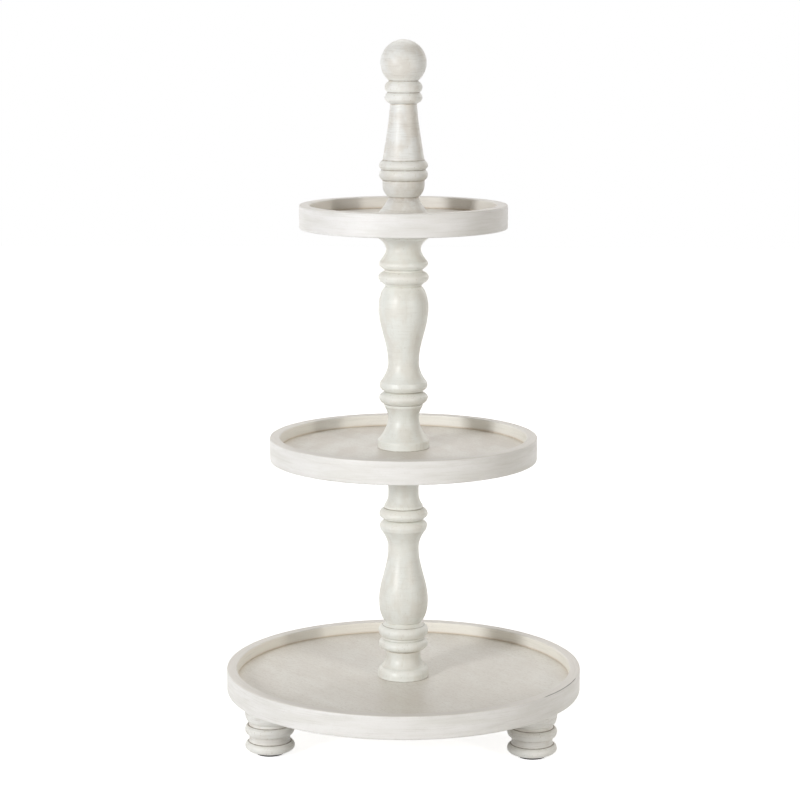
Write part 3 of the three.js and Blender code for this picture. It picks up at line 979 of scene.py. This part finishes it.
foot_paint = turned_wood("foot_whitewash", paint=(238, 238, 236), shade=(222, 218, 211),
                         lines=0.6, mottle=0.4, grain=0.15, glaze=(112, 96, 78), smoothest=0.5)
rubber = pad_rubber()
for side in ("back", "front_left", "front_right"):
    low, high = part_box(f"foot_{side}")
    turning(f"foot_{side}", foot_outline(high.z - low.z), FOOT_SEGMENTS, foot_paint, high_bore=SCREW_BORE)
    pad(f"foot_pad_{side}", rubber)

steel = plated_steel()
for node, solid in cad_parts.items():
    if any(word in node for word in HARDWARE_WORDS):
        solid.data.materials.clear()
        solid.data.materials.append(steel)


# Studio

FLOOR_WHITE = (0.85, 0.85, 0.85, 1.0)
FLOOR_HALF = 4.0
FLOOR_DROP = 0.2 * MM

# What is added to the floor for the camera: its share near the stand, and how far out that starts and stops
# growing
FLOOR_LIFT = 0.78
FLOOR_NEAR = 0.5
FLOOR_FAR = 2.0

AMBIENT = 0.17
AMBIENT_COLOR = (1.0, 0.89, 0.72, 1.0)
LAMPS_AIM = (0.0, 0.0, 0.28)
NEUTRAL = (1.0, 1.0, 1.0)
WARM = (1.0, 0.98, 0.93)
COOL = (0.97, 0.985, 1.0)


def floor_material():
    """White floor that keeps the object's shadow: what it lacks to white is added for the camera only."""
    g = Surface("studio_floor")
    growth = g.between(g.length(g.place), FLOOR_NEAR, FLOOR_FAR, 1 - FLOOR_LIFT)
    lift = g.math("ADD", growth, FLOOR_LIFT)
    g.put(g.shader.inputs["Emission Strength"], g.math("MULTIPLY", g.seen_by_camera(), lift))
    return g.finish(FLOOR_WHITE, 1.0, Emission_Color=WHITE, Specular_IOR_Level=0.0)


def studio_floor():
    mesh = bpy.data.meshes.new("studio_floor")
    signs = ((-1, -1), (1, -1), (1, 1), (-1, 1))
    corners = [(x * FLOOR_HALF, y * FLOOR_HALF, -FLOOR_DROP) for x, y in signs]
    mesh.from_pydata(corners, [], [(0, 1, 2, 3)])
    mesh.materials.append(floor_material())
    floor = bpy.data.objects.new("studio_floor", mesh)
    bpy.context.scene.collection.objects.link(floor)


def studio_world():
    """White to the camera, and a dim, warm light to the object."""
    world = bpy.data.worlds.new("studio")
    bpy.context.scene.world = world
    world.use_nodes = True
    g = Nodes(world.node_tree)
    background = g.tree.nodes["Background"]
    seen = g.seen_by_camera()
    g.put(background.inputs["Strength"], g.math("MAXIMUM", seen, AMBIENT))
    g.put(background.inputs["Color"], g.mix(seen, AMBIENT_COLOR, WHITE))


def softbox(name, azimuth, distance, height, width, tall, watts, color=NEUTRAL):
    """A rectangular lamp at an azimuth in degrees from the camera's side, turned to the stand."""
    turn = CAMERA_TURN + math.radians(azimuth)
    lamp = bpy.data.lights.new(name, "AREA")
    lamp.shape = "RECTANGLE"
    lamp.size = width
    lamp.size_y = tall
    lamp.energy = watts
    lamp.color = color
    holder = bpy.data.objects.new(name, lamp)
    bpy.context.scene.collection.objects.link(holder)
    holder.location = (distance * math.sin(turn), -distance * math.cos(turn), height)
    holder.rotation_euler = (Vector(LAMPS_AIM) - holder.location).to_track_quat("-Z", "Y").to_euler()


def photo_camera():
    camera = bpy.data.cameras.new("camera")
    camera.sensor_width = SENSOR_WIDTH_MM
    camera.lens = FOCAL_PIXELS * SENSOR_WIDTH_MM / IMAGE_PIXELS
    holder = bpy.data.objects.new("camera", camera)
    bpy.context.scene.collection.objects.link(holder)
    holder.location = (
        CAMERA_DISTANCE * math.sin(CAMERA_TURN),
        -CAMERA_DISTANCE * math.cos(CAMERA_TURN),
        CAMERA_HEIGHT,
    )
    holder.rotation_euler = (math.pi / 2 - CAMERA_PITCH, 0.0, CAMERA_TURN + CAMERA_YAW)
    bpy.context.scene.camera = holder


studio_floor()
studio_world()
softbox("key", azimuth=-40, distance=2.2, height=0.85, width=0.3, tall=0.5, watts=26.2, color=COOL)
softbox("left", azimuth=-85, distance=2.2, height=0.6, width=0.8, tall=1.0, watts=2.5)
softbox("fill", azimuth=40, distance=2.2, height=0.8, width=0.16, tall=0.5, watts=11.0, color=WARM)
softbox("back left", azimuth=-140, distance=2.2, height=0.6, width=1.2, tall=1.2, watts=3.8, color=WARM)
softbox("back right", azimuth=135, distance=2.2, height=1.0, width=1.0, tall=1.0, watts=6.2)
softbox("overhead", azimuth=180, distance=1.3, height=2.0, width=1.4, tall=1.4, watts=14.2)
softbox("top front", azimuth=-10, distance=1.6, height=2.2, width=0.8, tall=0.8, watts=4.5)
photo_camera()
bpy.context.scene.view_settings.view_transform = "Standard"
